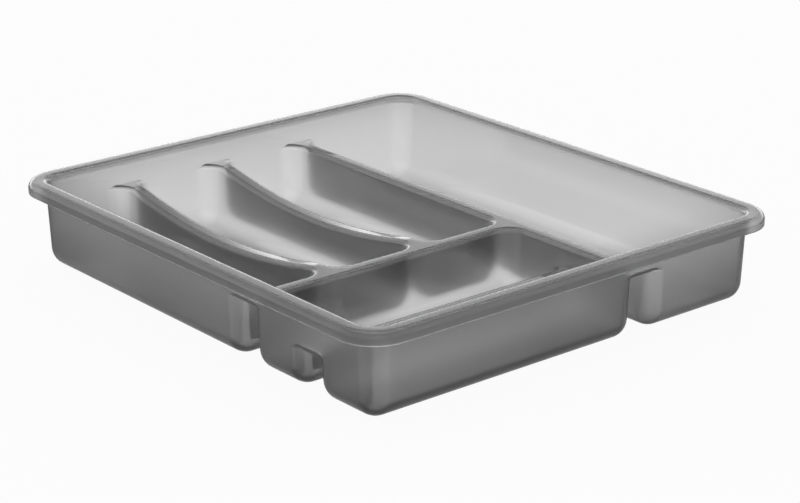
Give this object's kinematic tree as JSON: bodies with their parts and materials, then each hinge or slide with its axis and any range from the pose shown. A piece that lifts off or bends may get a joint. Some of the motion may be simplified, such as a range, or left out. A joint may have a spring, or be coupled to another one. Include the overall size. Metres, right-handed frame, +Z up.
{
  "type": "cutlery tray",
  "caption": "Open rectangular drawer tray of thin translucent smoke-grey plastic with long and cross compartments, dipped dividers and a turned-down rim, for sorting cutlery.",
  "frame": {"origin": "on the table under the middle of the tray, at the bottom centre of its bounding box", "axes": "+X to the tray's right, towards the long compartment; +Y to the back, away from the cross compartment; +Z up"},
  "size_m": [0.36, 0.4, 0.064],
  "materials": {
    "smoke_plastic": "translucent smoke-grey moulded plastic, glossy"
  },
  "bodies": {
    "root": {"rim": "smoke_plastic", "collar": "smoke_plastic", "left_compartment": "smoke_plastic", "middle_compartment": "smoke_plastic", "inner_compartment": "smoke_plastic", "long_compartment": "smoke_plastic", "front_compartment": "smoke_plastic", "rear_cup": "smoke_plastic", "front_cup": "smoke_plastic", "first_edge": "smoke_plastic", "second_edge": "smoke_plastic"}
  },
  "joints": []
}
